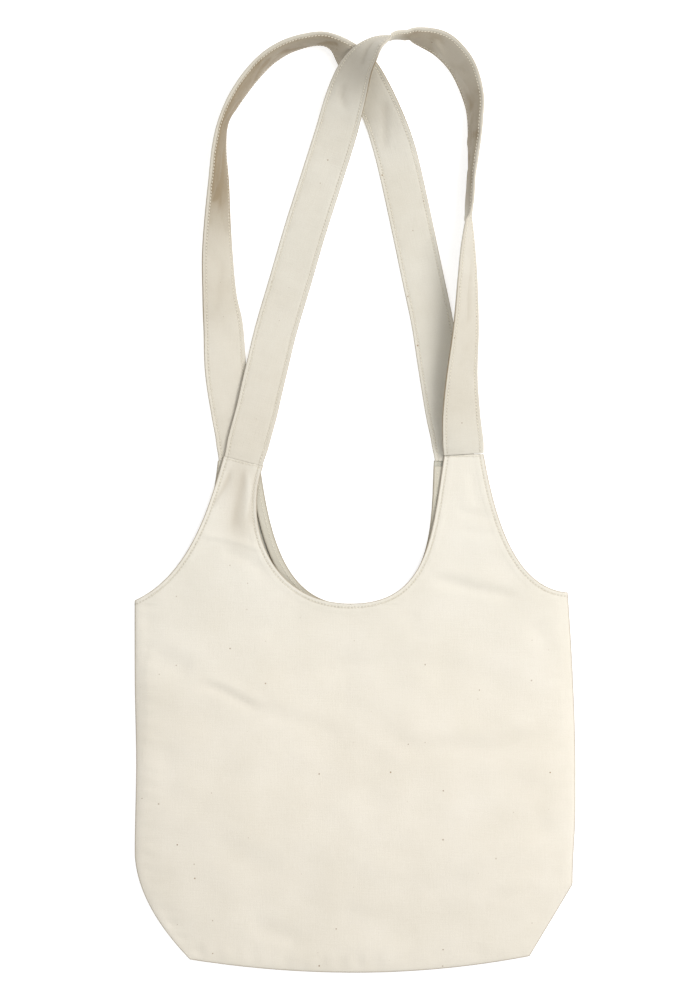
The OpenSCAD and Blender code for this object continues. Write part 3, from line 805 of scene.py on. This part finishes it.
# how far stitches sit over the underside of the cloth they hold
FRONT_UP = CLOTH + WELT - GROOVE + 0.12
BACK_UP = CLOTH + OFF_BACK + HEM_T + 0.06
SEAM_UP = CLOTH + 0.3
thread = []


def sew(name, rows, node):
    piece = stitches(name, rows)
    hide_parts(node)
    thread.append(piece)


for side, hems, height, extra, end in (("front", front_hems, front_height, FRONT_UP, 0.97),
                                       ("back", back_hems, back_height, BACK_UP, 0.92)):
    sew(side + "_neck_thread", [hem_row(hems[0], True, 0.012, 0.988, height, extra)],
        side + "_neck_stitching")
    sew(side + "_armhole_thread", [hem_row(hems[1], False, 0.03, end, height, extra),
                                   hem_row(hems[2], True, 0.03, end, height, extra)],
        side + "_armhole_stitching")


def seam_row(middle, y, half, tip, height, extra):
    """A row across a shoulder end at height y, its left end higher by tip."""
    line = np.array([(middle - half, y + tip), (middle, y - 0.2), (middle + half, y - tip)])
    return row_on(line, height, extra)


sew("front_seam_thread", [seam_row(FRONT_L, TOP - 1.7, 16.6, 0.95 * SLANT, front_height, SEAM_UP + 0.02),
                          seam_row(FRONT_R, TOP + RAISE - 1.6, 16.6, 0, front_height, SEAM_UP + 0.02)],
    "front_strap_seams")
sew("back_seam_thread", [seam_row(BACK_L, TOP - 1.6, 17, 0, back_height, SEAM_UP),
                         seam_row(BACK_R, TOP - 1.6, 17, 0, back_height, SEAM_UP)],
    "back_strap_seams")


def strap_rows(band, crumple, s0, s1):
    """The two rows of sewing on both faces of a strap, between two distances along it."""
    keep = np.where((band.run >= s0) & (band.run <= s1))[0]
    rows = []
    for w in (-STRAP_W / 2 + STRAP_ROW, STRAP_W / 2 - STRAP_ROW):
        for up in (1, -1):
            a, b = (band.surface(np.array([w]), up * lift, crumple)[keep, 0] for lift in (0.8, 1.8))
            rows.append((a, b - a))
    return rows


back_thread = stitches("back_strap_thread", strap_rows(back_band, back_crumple, 1, back_band.length - 1))
front_thread = stitches("front_strap_thread", strap_rows(front_band, front_crumple, cut_a, cut_b))
thread_l = stitches("front_strap_left_end_thread", strap_rows(front_band, front_crumple, 1, cut_a))
thread_r = stitches("front_strap_right_end_thread", strap_rows(front_band, front_crumple, cut_b, last - 1))


# ---------------------------------------------------------------- what moves with what
for piece in [front, back, *inner, *thread]:
    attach(piece, "bag")
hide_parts("front_panel")
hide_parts("back_panel")
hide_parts("back_strap")
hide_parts("front_strap")
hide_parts("back_strap_stitching")
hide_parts("front_strap_stitching")


for piece in (back_strap, back_thread, front_end_l, front_end_r, thread_l, thread_r):
    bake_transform(piece)
for piece in (front_strap, front_thread):
    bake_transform(piece)


# ---------------------------------------------------------------- finishes
class Value:
    """A number in a material that takes part in sums; each sum adds its own node."""

    def __init__(self, tree, socket):
        self.tree, self.socket = tree, socket

    def maths(self, kind, *others):
        n = self.tree.nodes.new("ShaderNodeMath")
        n.operation = kind
        for k, v in enumerate((self, *others)):
            put(self.tree, n.inputs[k], v)
        return Value(self.tree, n.outputs[0])

    def __add__(self, o):
        return self.maths("ADD", o)

    __radd__ = __add__

    def __mul__(self, o):
        return self.maths("MULTIPLY", o)

    __rmul__ = __mul__

    def __sub__(self, o):
        return self.maths("SUBTRACT", o)

    def __rsub__(self, o):
        return (self * -1) + o

    def __truediv__(self, o):
        return self.maths("DIVIDE", o)

    def clip(self):
        """The value held between 0 and 1."""
        n = self.maths("ADD", 0.0)
        n.socket.node.use_clamp = True
        return n


def put(tree, socket, v):
    """Links a value to a socket, or sets the socket to a plain number or colour."""
    if isinstance(v, Value):
        tree.links.new(v.socket, socket)
    else:
        socket.default_value = v


class Finish:
    """A material and its nodes."""

    def __init__(self, name):
        self.mat = bpy.data.materials.new(name)
        self.mat.use_nodes = True
        self.tree = self.mat.node_tree
        self.shader = self.tree.nodes["Principled BSDF"]

    def node(self, kind, settings=None, out=0, **sockets):
        """A new node's output. A socket is named by its label, or by _ and its number."""
        n = self.tree.nodes.new(kind)
        for k, v in (settings or {}).items():
            setattr(n, k, v)
        for k, v in sockets.items():
            key = int(k[1:]) if k[0] == "_" and k[1:].isdigit() else k.replace("_", " ")
            put(self.tree, n.inputs[key], v)
        return Value(self.tree, n.outputs[out])

    def split(self, v):
        n = self.node("ShaderNodeSeparateXYZ", Vector=v).socket.node
        return [Value(self.tree, n.outputs[k]) for k in range(3)]

    def noise(self, at, scale, detail=2.0, rough=0.5):
        return self.node("ShaderNodeTexNoise", Vector=at, Scale=scale, Detail=detail, Roughness=rough)

    def mix(self, amount, a, b, kind="MIX"):
        settings = {"data_type": "RGBA", "blend_type": kind}
        return self.node("ShaderNodeMix", settings, out=2, Factor=amount, _6=a, _7=b)

    def set(self, **sockets):
        for k, v in sockets.items():
            put(self.tree, self.shader.inputs[k.replace("_", " ")], v)


def linear(*display):
    """A colour from its display values, 0 to 255."""
    shares = [c / 255 for c in display]
    return (*[c / 12.92 if c <= 0.04045 else ((c + 0.055) / 1.055) ** 2.4 for c in shares], 1.0)


# pitch of the weave, and the colours of seed flecks, of the painted shade in stitch holes and along the
# sewing, and of the painted shade where folds, rims and standing straps are hidden from the light
WEAVE = 0.8
FLECK, HOLE_SHADE = (132, 104, 72), (150, 138, 114)
DARKEN = (0.44, 0.365, 0.27, 1.0)
COOLER = (0.965, 1.0, 1.035, 1.0)


def canvas(name, tone, shade, rows=None):
    """Unbleached plain-woven cotton. rows is where sewing pulls it in: the map and the row's distance."""
    m = Finish(name)
    uv = m.node("ShaderNodeUVMap", {"uv_map": "UVMap"})
    x, y, _ = m.split(uv)
    long_x = m.node("ShaderNodeCombineXYZ", X=x * 60, Y=y * 700, Z=0.0)
    long_y = m.node("ShaderNodeCombineXYZ", X=x * 700, Y=y * 60, Z=4.0)
    weft, warp = m.noise(long_x, 1.0, 3.0, 0.6), m.noise(long_y, 1.0, 3.0, 0.6)
    slub = (weft + warp) * 0.5
    cloud = m.noise(uv, 14.0, 3.0, 0.55)
    fibre = m.noise(uv, 900.0, 2.0, 0.7)
    tone_mix = ((cloud - 0.5) * 1.2 + (slub - 0.5) * 0.7 + (fibre - 0.5) * 0.9 + 0.5).clip()
    cool = ((y - 0.04) * 6).clip() * 0.5
    colour = m.mix(tone_mix, shade, tone)
    colour = m.mix(cool, colour, m.mix(1.0, colour, COOLER, "MULTIPLY"))
    flat = {"feature": "F1", "voronoi_dimensions": "2D"}
    seed = m.node("ShaderNodeTexVoronoi", flat, Vector=uv, Scale=62.0)
    pick, size, _ = m.split(m.node("ShaderNodeTexVoronoi", flat, out=1, Vector=uv, Scale=62.0))
    spot = ((size * 0.035 + 0.025 - seed) * 40).clip() * ((pick - 0.88) * 9).clip()
    colour = m.mix(spot, colour, linear(*FLECK))
    step = math.pi / (WEAVE * MM)
    warp_thread, weft_thread = (x * step).maths("SINE"), (y * step).maths("SINE")
    over = (warp_thread * weft_thread).maths("SIGN") * 0.5 + 0.5
    cloth = warp_thread.maths("ABSOLUTE") * over + weft_thread.maths("ABSOLUTE") * (1 - over)
    height = cloth * 0.10 + slub * 0.55 + fibre * 0.10
    if rows:
        d, along, _ = m.split(m.node("ShaderNodeUVMap", {"uv_map": rows[0]}))
        if rows[0] == "UVMap":
            d = d.maths("ABSOLUTE")
        off = (d - rows[1] * MM) / (0.7 * MM)
        near = (0 - off * off).maths("EXPONENT")
        beat = (along * (2 * math.pi / (STITCH * MM))).maths("COSINE") * 0.5 + 0.5
        hole = near * beat
        # painted shade: the sewing groove and the needle holes are darkened towards this colour
        colour = m.mix((near * 0.06 + hole * 0.34).clip(), colour, linear(*HOLE_SHADE))
        height = height - near * 0.25 - hole * 0.35
    # painted shade from the shade attribute: darker in folds, along rims and on the standing straps' inner
    # faces
    dark = m.node("ShaderNodeAttribute", {"attribute_name": "shade"}, out=2)
    colour = m.mix(dark, colour, m.mix(1.0, colour, DARKEN, "MULTIPLY"))
    bump = m.node("ShaderNodeBump", Height=height, Strength=0.55, Distance=0.7 * MM)
    m.set(Base_Color=colour, Normal=bump, Roughness=0.88 + (fibre - 0.5) * 0.1)
    m.shader.inputs["Sheen Weight"].default_value = 0.18
    m.shader.inputs["Sheen Roughness"].default_value = 0.5
    m.shader.inputs["Specular IOR Level"].default_value = 0.2
    return m.mat


def thread_finish(name):
    """Two-ply cotton thread with a slight fuzz."""
    m = Finish(name)
    uv = m.node("ShaderNodeUVMap", {"uv_map": "UVMap"})
    x, y, _ = m.split(uv)
    ply = ((x * 2.2 + y) * (2 * math.pi / (0.7 * MM))).maths("SINE")
    fuzz = m.noise(uv, 1500.0, 2.0, 0.6)
    colour = m.mix((fuzz * 0.8 + ply * 0.15).clip(), linear(222, 215, 196), linear(240, 235, 220))
    bump = m.node("ShaderNodeBump", Height=ply * 0.5 + fuzz * 0.5, Strength=0.5, Distance=0.3 * MM)
    m.set(Base_Color=colour, Normal=bump, Roughness=0.8)
    m.shader.inputs["Sheen Weight"].default_value = 0.1
    return m.mat


hem_rows = ("EdgeMap", ROW)
strap_sewing = ("UVMap", STRAP_W / 2 - STRAP_ROW)
front_canvas = canvas("natural_canvas_front", linear(227, 221, 209), linear(216, 209, 194), hem_rows)
# painted shade: the back cloth is the same canvas as the front, given a darker, cooler colour for the shade
# it lies in under the front cloth
back_canvas = canvas("natural_canvas_back_shaded", linear(200, 198, 186), linear(190, 186, 172), hem_rows)
strap_canvas = canvas("natural_canvas_strap", linear(214, 209, 197), linear(203, 196, 181), strap_sewing)
seam_canvas = canvas("natural_canvas_folded", linear(208, 202, 187), linear(194, 187, 170))
sewing_thread = thread_finish("cream_sewing_thread")
straps = (back_strap, front_strap, front_end_l, front_end_r)
thread += [back_thread, front_thread, thread_l, thread_r]
for pieces, finish, slot in (([front], front_canvas, "front_canvas"), ([back], back_canvas, "back_canvas"),
                             (inner, seam_canvas, "seam_canvas"), (straps, strap_canvas, "strap_canvas"),
                             (thread, sewing_thread, "cotton_thread")):
    for piece in pieces:
        piece.data.materials.append(finish)
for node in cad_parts.values():
    node.data.materials.clear()
    node.data.materials.append(seam_canvas)

# ---------------------------------------------------------------- floor, light and camera
# middle of the object, which the lamps face and the floor is laid around
AIM = (0.0, 0.26, 0.0)
bpy.ops.object.select_all(action="DESELECT")
bpy.ops.mesh.primitive_plane_add(size=40.0, location=AIM)
floor = bpy.context.object
floor.name = "floor"
paper = Finish("pale_paper")
paper.set(Base_Color=linear(222, 222, 222), Roughness=0.95)
paper.set(Emission_Color=(1, 1, 1, 1), Emission_Strength=0.55)
floor.data.materials.append(paper.mat)

world = bpy.context.scene.world or bpy.data.worlds.new("room")
bpy.context.scene.world = world
world.use_nodes = True
room = world.node_tree.nodes["Background"]
room.inputs["Color"].default_value = (1, 1, 1, 1)
room.inputs["Strength"].default_value = 0.62


def lamp(name, place, size, power, colour=(1, 1, 1)):
    """A round soft lamp that faces the object."""
    data = bpy.data.lights.new(name, "AREA")
    data.shape = "DISK"
    data.size = size
    data.energy = power
    data.color = colour
    obj = bpy.data.objects.new(name, data)
    bpy.context.scene.collection.objects.link(obj)
    obj.location = place
    obj.rotation_euler = (Vector(AIM) - Vector(place)).to_track_quat("-Z", "Y").to_euler()


lamp("window_light", (1.35, 1.2, 1.95), 1.3, 42, (1.0, 0.985, 0.965))
lamp("left_fill", (-1.7, 1.1, 2.9), 1.8, 9, (0.97, 0.985, 1.0))
lamp("near_fill", (0.9, -1.9, 2.9), 1.8, 18)

# straight down, from as far as makes the long lens take in this width of floor
LENS, SENSOR, VIEW_WIDTH = 200, 36, 0.910
cam_data = bpy.data.cameras.new("camera")
cam_data.lens = LENS
cam_data.sensor_width = SENSOR
cam_data.clip_end = 50
camera = bpy.data.objects.new("camera", cam_data)
bpy.context.scene.collection.objects.link(camera)
camera.location = (-0.0046, 0.2595, VIEW_WIDTH / SENSOR * LENS)
camera.rotation_euler = (0, 0, 0)
bpy.context.scene.camera = camera
bpy.context.scene.view_settings.view_transform = "Standard"
